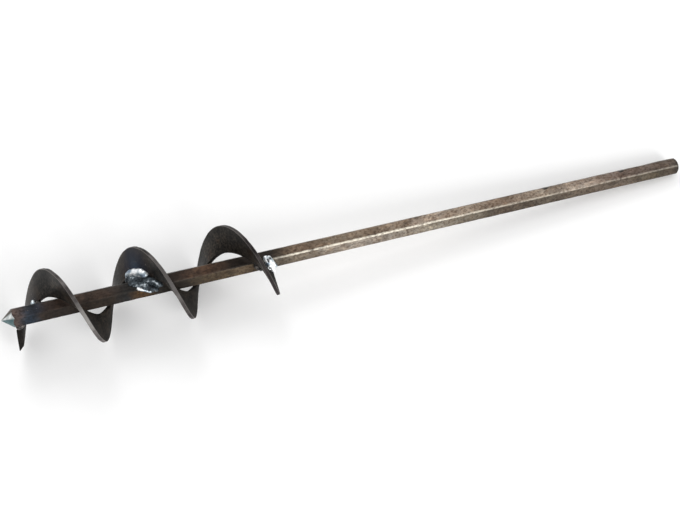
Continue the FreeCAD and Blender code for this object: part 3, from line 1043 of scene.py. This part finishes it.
# %% Rubbed outer edge, with painted highlights
DULL_EDGE = [(0.36, tone(30, 26, 26)), (0.6, tone(54, 48, 49))]
BRIGHT_EDGE = [(0.36, tone(78, 74, 74)), (0.5, tone(116, 112, 110)), (0.62, tone(172, 170, 166))]
# brightness of the outer edge along the strip: partly rub, partly painted highlight, strongest at the lower
# front after one and two turns
WEAR_AND_HIGHLIGHT = [(0.0, 0.1), (0.2, 0.2), (0.31, 1.0), (0.4, 0.15)]
WEAR_AND_HIGHLIGHT += [(0.58, 0.15), (0.66, 0.45), (0.72, 0.1), (1.0, 0.05)]

wobble = speckle(tree, strip_place, 9, stretch=(3, 1, 1))
edge_gap = maths(tree, "SUBTRACT", OUTER_RADIUS, strip_parts.outputs["Y"])
edge_limit = remap(tree, wobble, 0.0, 1.0, 0.2 * MM, 1.1 * MM)
on_edge = ramp(tree, maths(tree, "DIVIDE", edge_gap, edge_limit), [(0.5, 1.0), (1.0, 0.0)])
edge_patches = speckle(tree, strip_place, 6, stretch=(4, 1, 1))
wear_and_highlight = ramp(tree, remap(tree, strip_parts.outputs["X"], 0.0, STRIP_LENGTH), WEAR_AND_HIGHLIGHT)
edge_colour = blend(tree, wear_and_highlight, ramp(tree, edge_patches, DULL_EDGE), ramp(tree, edge_patches, BRIGHT_EDGE))
on_round = remap(tree, edge_gap, 0.0, 1.2 * EDGE_ROUND)
# painted highlight: a bright line along the rounded corner of the edge
glint = ramp(tree, on_round, [(0.05, 0.0), (0.3, 0.55), (0.8, 0.55), (1.0, 0.0)])
edge_colour = blend(tree, glint, edge_colour, tone(150, 146, 140))
colour = blend(tree, on_edge, colour, edge_colour)

# %% Gloss of the scale
roughness = remap(tree, clouds, NOISE_LOW, NOISE_HIGH, 0.5, 0.36)
# the same mask also makes the lower front rougher and less metallic
roughness = maths(tree, "MULTIPLY_ADD", painted_shade_and_dullness, 0.35, roughness)
metallic = remap(tree, painted_shade_and_dullness, 0.0, 1.0, 0.5, 0.0)
connect(tree, shader, {"Base Color": colour, "Roughness": roughness, "Metallic": metallic})
shader.inputs["Specular IOR Level"].default_value = 0.12
bump(tree, shader, speckle(tree, place, 1.6, detail=5.0), 0.7, 0.15)
print("mill scale has", len(tree.nodes), "nodes")

# %% [markdown]
# ### Weld metal
# Fresh weld is bare steel with a thin oxide skin. Where it was laid in short steps, as in the run of
# beads, it is blue-grey with bright crowns and nearly black craters.

# %% Weld metal
BEAD_TONES = [
    (0.34, tone(34, 38, 43)),
    (0.5, tone(56, 63, 69)),
    (0.6, tone(80, 89, 95)),
    (0.68, tone(176, 184, 190)),
]

weld_finish, tree, shader = new_finish("weld_metal")
place = node(tree, "TexCoord").outputs["Object"]
patches = speckle(tree, place, 4.5, detail=3.0)
in_crater = ramp(tree, stored(tree, "crater"), [(0.3, 0.0), (0.8, 0.9)])
colour = blend(tree, in_crater, ramp(tree, patches, BEAD_TONES), tone(20, 22, 26))
roughness = remap(tree, patches, NOISE_LOW, NOISE_HIGH, 0.55, 0.32)
connect(tree, shader, {"Base Color": colour, "Roughness": roughness, "Metallic": 0.7})
bump(tree, shader, speckle(tree, place, 0.8), 0.3, 0.1)
print("weld metal has", len(tree.nodes), "nodes")

# %% [markdown]
# ### Bright weld pool
# Metal that stays liquid longer freezes smoother. The puddle, the tack and the larger weld at the tail
# are silver with a blue cast.

# %% Bright weld pool
POOL_TONES = [(0.38, tone(122, 136, 152)), (0.48, tone(190, 200, 206)), (0.58, tone(248, 250, 252))]

pool_finish, tree, shader = new_finish("bright_weld_pool")
place = node(tree, "TexCoord").outputs["Object"]
patches = speckle(tree, place, 7, detail=1.5)
in_crater = ramp(tree, stored(tree, "crater"), [(0.1, 0.0), (0.7, 0.95)])
colour = blend(tree, in_crater, ramp(tree, patches, POOL_TONES), tone(38, 42, 48))
connect(tree, shader, {"Base Color": colour, "Roughness": 0.36, "Metallic": 0.75})
bump(tree, shader, speckle(tree, place, 1.4), 0.25, 0.1)
print("bright weld pool has", len(tree.nodes), "nodes")

# %% [markdown]
# ### Oxidised weld metal
# The bead at the lead end, the smaller one at the tail and the spatter are a dull brown-grey.

# %% Oxidised weld metal
OXIDE_TONES = [(0.38, tone(34, 32, 32)), (0.5, tone(58, 54, 52)), (0.62, tone(104, 98, 94))]

dull_finish, tree, shader = new_finish("oxidised_weld_metal")
place = node(tree, "TexCoord").outputs["Object"]
patches = speckle(tree, place, 3.5, detail=3.0)
colour = ramp(tree, patches, OXIDE_TONES)
connect(tree, shader, {"Base Color": colour, "Roughness": 0.42, "Metallic": 0.6})
bump(tree, shader, patches, 0.3, 0.1)
print("oxidised weld metal has", len(tree.nodes), "nodes")

# %% [markdown]
# ## Putting the pieces in place
# Each piece goes from the bar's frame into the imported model's, rides on its one body, and stands for
# the plain solid that it replaces. The ground faces of the point get the second material.

# %% Hand over
bar.data.materials.append(bar_finish)
finish_piece(bar, "hex_shaft", ground_finish)
for face in bar.data.polygons:
    on_point = (face.center - point).dot(along) < END_ZONE
    face.material_index = 1 if on_point and face.normal.dot(along) < -0.3 else 0
finish_piece(ribbon, "flight_ribbon", scale_finish)
finish_piece(lead_root, "lead_root_weld", dull_finish)
finish_piece(lead_tack, "lead_tack_weld", pool_finish)
finish_piece(mid_run, "mid_weld_run", weld_finish)
finish_piece(mid_puddle, "mid_weld_puddle", pool_finish)
finish_piece(tail_outer, "end_weld_outer", pool_finish)
finish_piece(tail_inner, "end_weld_inner", dull_finish)
finish_piece(spatter, None, dull_finish)

# %% Sizes
visual_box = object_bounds()
for cad_corner, visual_corner in zip(cad_box, visual_box):
    print("corner differs by", [round((b - a) / MM, 2) for a, b in zip(cad_corner, visual_corner)], "mm")
